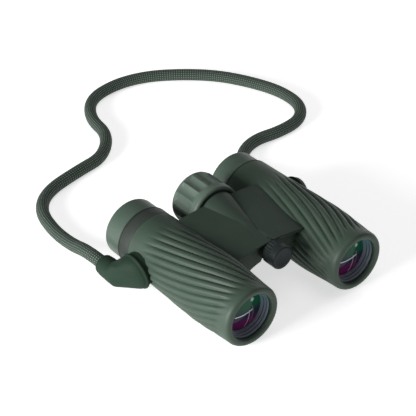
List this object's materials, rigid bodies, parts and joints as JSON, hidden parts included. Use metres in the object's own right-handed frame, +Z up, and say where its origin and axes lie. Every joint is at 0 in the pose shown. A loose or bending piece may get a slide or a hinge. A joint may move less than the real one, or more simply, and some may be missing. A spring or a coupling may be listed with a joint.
{
  "type": "binoculars",
  "caption": "Compact roof-prism binoculars with ribbed rubber armour, a centre hinge and focus wheel, twist-up eyecups and a braided cord strap.",
  "frame": {"origin": "on the surface that the pair stands on, midway between the barrels and midway along them", "axes": "+Z up; +Y from the objectives to the eyepieces; +X to the user's left, across the two barrels"},
  "size_m": [0.2147, 0.2647, 0.045],
  "materials": {
    "armour_rubber": "soft matte green-grey rubber with moulded ribs",
    "eyecup_rubber": "soft matte rubber",
    "grip_rubber": "soft matte rubber with flutes",
    "bridge_coat": "fine matte green coating",
    "strap_fitting": "moulded matte elastomer",
    "braided_cord": "braided with a lighter diamond fleck",
    "cap_grey": "slate grey, fine texture",
    "diopter_grey": "neutral dark grey",
    "seal_rubber": "black",
    "coated_glass": "multi-coated",
    "optical_glass": "polished",
    "steel": "ground",
    "brass": "machined",
    "wheel_plastic": "matte dark green-black",
    "objective_anodise": "satin blue-grey anodising",
    "inner_plastic": "black",
    "black_alloy": "matte black anodising"
  },
  "bodies": {
    "right_barrel": {"right_barrel_tube": "black_alloy", "right_armour": "armour_rubber", "right_objective_cell": "objective_anodise", "right_objective_lens": "coated_glass", "right_objective_rear_lens": "optical_glass", "right_objective_ring": "objective_anodise", "right_objective_seal": "seal_rubber", "right_prism_cage": "inner_plastic", "right_prism_pair": "optical_glass", "right_eyepiece_tube": "black_alloy", "right_strap_lug": "strap_fitting", "right_strap_connector": "strap_fitting", "right_hinge_arm": "bridge_coat", "hinge_shaft": "steel", "hinge_washers": "brass", "focus_collar": "wheel_plastic", "tripod_socket": "brass", "strap_cord": "braided_cord"},
    "left_barrel": {"left_barrel_tube": "black_alloy", "left_armour": "armour_rubber", "left_objective_cell": "objective_anodise", "left_objective_lens": "coated_glass", "left_objective_rear_lens": "optical_glass", "left_objective_ring": "objective_anodise", "left_objective_seal": "seal_rubber", "left_prism_cage": "inner_plastic", "left_prism_pair": "optical_glass", "left_eyepiece_tube": "black_alloy", "left_strap_lug": "strap_fitting", "left_strap_connector": "strap_fitting", "left_hinge_arm": "bridge_coat", "left_ocular_cell": "black_alloy", "left_field_lens": "optical_glass", "left_eye_lens": "coated_glass", "left_ocular_ring": "black_alloy"},
    "focus_wheel": {"focus_wheel": "wheel_plastic", "focus_wheel_grip": "grip_rubber", "focus_wheel_cap": "wheel_plastic", "focus_screw": "brass"},
    "focus_carriage": {"focus_carriage": "black_alloy", "right_focus_arm": "black_alloy", "right_focus_cell": "black_alloy", "right_focus_lens": "optical_glass"},
    "left_focus": {"left_focus_arm": "black_alloy", "left_focus_cell": "black_alloy", "left_focus_lens": "optical_glass"},
    "diopter_ring": {"diopter_ring": "diopter_grey"},
    "right_ocular": {"right_ocular_cell": "black_alloy", "right_field_lens": "optical_glass", "right_eye_lens": "coated_glass", "right_ocular_ring": "black_alloy"},
    "right_eyecup_lift": {"right_eyecup_click_ring": "black_alloy"},
    "right_eyecup": {"right_eyecup": "eyecup_rubber", "right_eyecup_sleeve": "black_alloy"},
    "left_eyecup_lift": {"left_eyecup_click_ring": "black_alloy"},
    "left_eyecup": {"left_eyecup": "eyecup_rubber", "left_eyecup_sleeve": "black_alloy"},
    "tripod_cap_lift": {"tripod_cap_washer": "seal_rubber"},
    "tripod_cap": {"tripod_cap": "cap_grey"}
  },
  "joints": [
    {"name": "fold", "type": "hinge", "parent": "right_barrel", "child": "left_barrel", "pos_m": [0, 0, 0.02903], "axis": [0, 1, 0], "range_deg": [0, 57]},
    {"name": "focus_turn", "type": "hinge", "parent": "right_barrel", "child": "focus_wheel", "pos_m": [0, 0, 0.02903], "axis": [0, 1, 0], "range_deg": [-180, 180]},
    {"name": "right_focus_slide", "type": "slide", "parent": "right_barrel", "child": "focus_carriage", "axis": [0, 1, 0], "range_m": [-0.0024, 0.0024]},
    {"name": "left_focus_slide", "type": "slide", "parent": "left_barrel", "child": "left_focus", "axis": [0, 1, 0], "range_m": [-0.0024, 0.0024]},
    {"name": "diopter_turn", "type": "hinge", "parent": "right_barrel", "child": "diopter_ring", "pos_m": [-0.037, 0, 0.01943], "axis": [0, 1, 0], "range_deg": [-40, 40]},
    {"name": "right_ocular_slide", "type": "slide", "parent": "right_barrel", "child": "right_ocular", "axis": [0, 1, 0], "range_m": [-0.0012, 0.0012]},
    {"name": "right_eyecup_lift", "type": "slide", "parent": "right_barrel", "child": "right_eyecup_lift", "axis": [0, 1, 0], "range_m": [0, 0.008]},
    {"name": "right_eyecup_turn", "type": "hinge", "parent": "right_eyecup_lift", "child": "right_eyecup", "pos_m": [-0.037, 0, 0.01943], "axis": [0, 1, 0], "range_deg": [0, 120]},
    {"name": "left_eyecup_lift", "type": "slide", "parent": "left_barrel", "child": "left_eyecup_lift", "axis": [0, 1, 0], "range_m": [0, 0.008]},
    {"name": "left_eyecup_turn", "type": "hinge", "parent": "left_eyecup_lift", "child": "left_eyecup", "pos_m": [0.037, 0, 0.01943], "axis": [0, 1, 0], "range_deg": [0, 120]},
    {"name": "tripod_cap_lift", "type": "slide", "parent": "right_barrel", "child": "tripod_cap_lift", "axis": [0, -1, 0], "range_m": [0, 0.00635]},
    {"name": "tripod_cap_turn", "type": "hinge", "parent": "tripod_cap_lift", "child": "tripod_cap", "pos_m": [0, 0, 0.02903], "axis": [0, -1, 0], "range_deg": [0, 1800]}
  ],
  "couplings": [
    {"joint": "right_focus_slide", "follows": "focus_turn", "m_per_rad": 0.00076},
    {"joint": "left_focus_slide", "follows": "focus_turn", "m_per_rad": 0.00076},
    {"joint": "diopter_turn", "follows": "right_ocular_slide", "rad_per_m": 581.78},
    {"joint": "right_eyecup_lift", "follows": "right_eyecup_turn", "m_per_rad": 0.0038},
    {"joint": "left_eyecup_lift", "follows": "left_eyecup_turn", "m_per_rad": 0.0038},
    {"joint": "tripod_cap_turn", "follows": "tripod_cap_lift", "rad_per_m": 4947.4}
  ]
}
